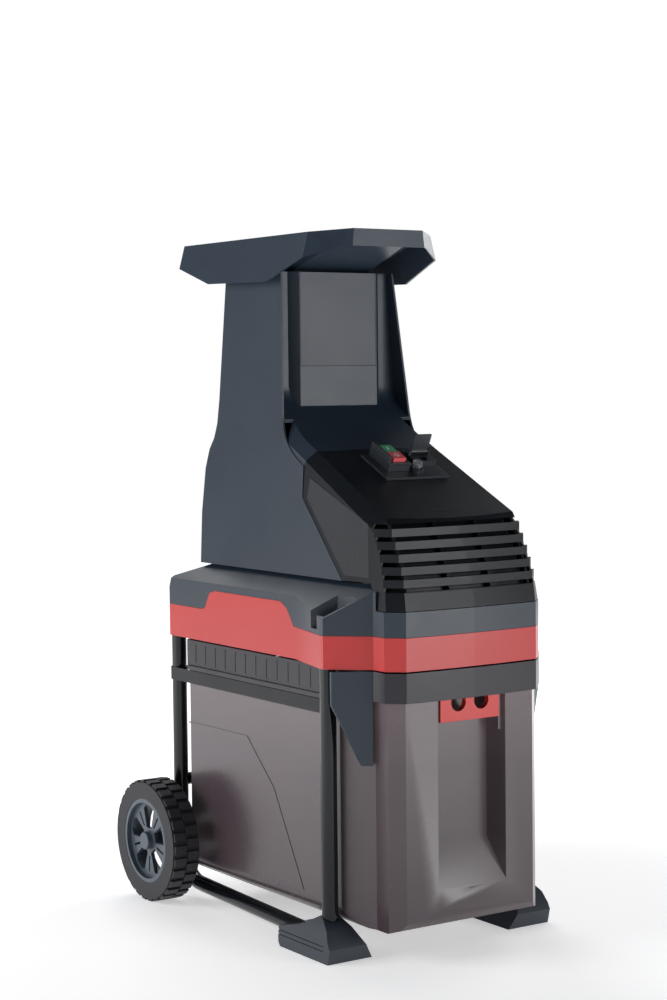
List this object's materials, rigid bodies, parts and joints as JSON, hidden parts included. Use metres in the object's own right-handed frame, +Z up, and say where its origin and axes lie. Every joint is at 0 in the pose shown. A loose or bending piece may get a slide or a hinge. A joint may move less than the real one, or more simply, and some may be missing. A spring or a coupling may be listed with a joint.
{
  "type": "wood chipper",
  "caption": "Upright electric garden chipper: winged feed hopper on a tapered tower, louvred motor cover, red-banded housing, tube stand with wheels, and a slide-out collection box.",
  "frame": {"origin": "on the ground under the middle of the machine's bounding box", "axes": "+Z up, the front with the louvres, controls and box handle faces -Y, +X to the right seen from the front"},
  "size_m": [0.434, 0.6117, 0.975],
  "materials": {
    "slate_plastic": "fine-grained moulded plastic, slate blue-grey",
    "panel_plastic": "fine-grained moulded plastic, lighter slate grey",
    "black_plastic": "satin moulded plastic, charcoal black",
    "smoke_plastic": "smoky satin plastic, warm grey-brown",
    "side_smoke": "smoky satin plastic insert",
    "rim_plastic": "satin moulded plastic, mid grey",
    "red_plastic": "satin red moulded plastic",
    "lock_red": "satin red moulded plastic",
    "frame_paint": "gloss black powder coat",
    "rail_paint": "satin black powder coat",
    "foot_plastic": "grained dark grey plastic",
    "tyre": "moulded rubber",
    "hub_plastic": "satin blue-grey plastic",
    "steel": "bright turned steel",
    "dark_steel": "hardened tool steel",
    "cast": "die-cast aluminium",
    "laminations": "varnished steel laminations",
    "white_plastic": "plain moulded plastic",
    "control_plastic": "satin black plastic",
    "button_green": "glossy green plastic",
    "button_red": "glossy red plastic",
    "clear_plastic": "clear flexible cap"
  },
  "bodies": {
    "chassis": {"frame_tube_left": "frame_paint", "frame_tube_right": "frame_paint", "rear_crossbar": "frame_paint", "rail_left": "rail_paint", "rail_right": "rail_paint", "axle_bracket_left": "rail_paint", "axle_bracket_right": "rail_paint", "axle": "steel", "axle_washers": "steel", "foot_left": "foot_plastic", "foot_right": "foot_plastic", "housing_base": "red_plastic", "housing_upper": "slate_plastic", "tower_shell": "slate_plastic", "front_panel_upper": "panel_plastic", "hopper": "slate_plastic", "feed_chute": "black_plastic", "motor_cover": "black_plastic", "cover_side_left": "side_smoke", "cover_side_right": "side_smoke", "switch_plate": "control_plastic", "switch_box": "control_plastic", "inlet_socket": "control_plastic", "flap_pin": "steel", "reset_collar": "control_plastic", "gearbox_case": "cast", "motor_can": "steel", "motor_end_shield": "cast", "stator": "laminations", "drum_bearings": "steel", "capacitor": "white_plastic", "interlock_switch": "white_plastic", "adjuster_guide": "cast"},
    "wheel_left": {"tyre_left": "tyre", "wheel_hub_left": "hub_plastic", "hub_cap_left": "hub_plastic"},
    "wheel_right": {"tyre_right": "tyre", "wheel_hub_right": "hub_plastic", "hub_cap_right": "hub_plastic"},
    "motor_rotor": {"rotor_shaft": "steel", "rotor_core": "laminations", "cooling_fan": "white_plastic", "motor_pinion": "dark_steel"},
    "gear_layshaft": {"layshaft": "dark_steel", "intermediate_gear": "dark_steel"},
    "drum": {"drum_gear": "dark_steel", "drum_shaft": "steel", "crushing_drum": "dark_steel"},
    "pressure_slide": {"pressure_plate": "cast", "adjusting_screw": "steel"},
    "adjuster": {"adjusting_knob": "black_plastic"},
    "start_key": {"start_button": "button_green"},
    "stop_key": {"stop_button": "button_red"},
    "reset_key": {"reset_button": "clear_plastic"},
    "inlet_cover": {"inlet_flap": "control_plastic"},
    "box": {"collection_box": "smoke_plastic", "box_rim": "rim_plastic", "box_wing_left": "slate_plastic", "box_wing_right": "slate_plastic"},
    "lock": {"box_lock": "lock_red"}
  },
  "joints": [
    {"name": "wheel_left_spin", "type": "hinge", "parent": "chassis", "child": "wheel_left", "pos_m": [-0.19, 0.216, 0.09], "axis": [1, 0, 0], "continuous": true},
    {"name": "wheel_right_spin", "type": "hinge", "parent": "chassis", "child": "wheel_right", "pos_m": [0.19, 0.216, 0.09], "axis": [1, 0, 0], "continuous": true},
    {"name": "motor_spin", "type": "hinge", "parent": "chassis", "child": "motor_rotor", "pos_m": [0, -0.09, 0.536], "axis": [0, 1, 0], "continuous": true},
    {"name": "layshaft_spin", "type": "hinge", "parent": "chassis", "child": "gear_layshaft", "pos_m": [0.0445, -0.02, 0.4794], "axis": [0, 1, 0], "continuous": true},
    {"name": "drum_spin", "type": "hinge", "parent": "chassis", "child": "drum", "pos_m": [-0.006, 0.07, 0.447], "axis": [0, 1, 0], "continuous": true},
    {"name": "pressure_slide", "type": "slide", "parent": "chassis", "child": "pressure_slide", "axis": [-1, 0, 0], "range_m": [0, 0.004]},
    {"name": "adjuster_turn", "type": "hinge", "parent": "chassis", "child": "adjuster", "pos_m": [0.155, 0.072, 0.447], "axis": [1, 0, 0], "range_deg": [0, 720]},
    {"name": "start_press", "type": "slide", "parent": "chassis", "child": "start_key", "axis": [0, 0.4408, -0.8976], "range_m": [0, 0.003], "stiffness_N_per_m": 400, "springref_m": -0.002},
    {"name": "stop_press", "type": "slide", "parent": "chassis", "child": "stop_key", "axis": [0, 0.4408, -0.8976], "range_m": [0, 0.003], "stiffness_N_per_m": 400, "springref_m": -0.002},
    {"name": "reset_press", "type": "slide", "parent": "chassis", "child": "reset_key", "axis": [0, 0.4408, -0.8976], "range_m": [0, 0.002], "stiffness_N_per_m": 400, "springref_m": -0.002},
    {"name": "inlet_flap_swing", "type": "hinge", "parent": "chassis", "child": "inlet_cover", "pos_m": [0.04, -0.12919, 0.66775], "axis": [1, 0, 0], "range_deg": [0, 88]},
    {"name": "box_slide", "type": "slide", "parent": "chassis", "child": "box", "axis": [0, -1, 0], "range_m": [0, 0.5]},
    {"name": "lock_slide", "type": "slide", "parent": "box", "child": "lock", "axis": [0, 0, -1], "range_m": [0, 0.014]}
  ],
  "couplings": [
    {"joint": "layshaft_spin", "follows": "motor_spin", "ratio": -0.16129},
    {"joint": "drum_spin", "follows": "motor_spin", "ratio": 0.049088},
    {"joint": "pressure_slide", "follows": "adjuster_turn", "m_per_rad": 0.00031831}
  ]
}
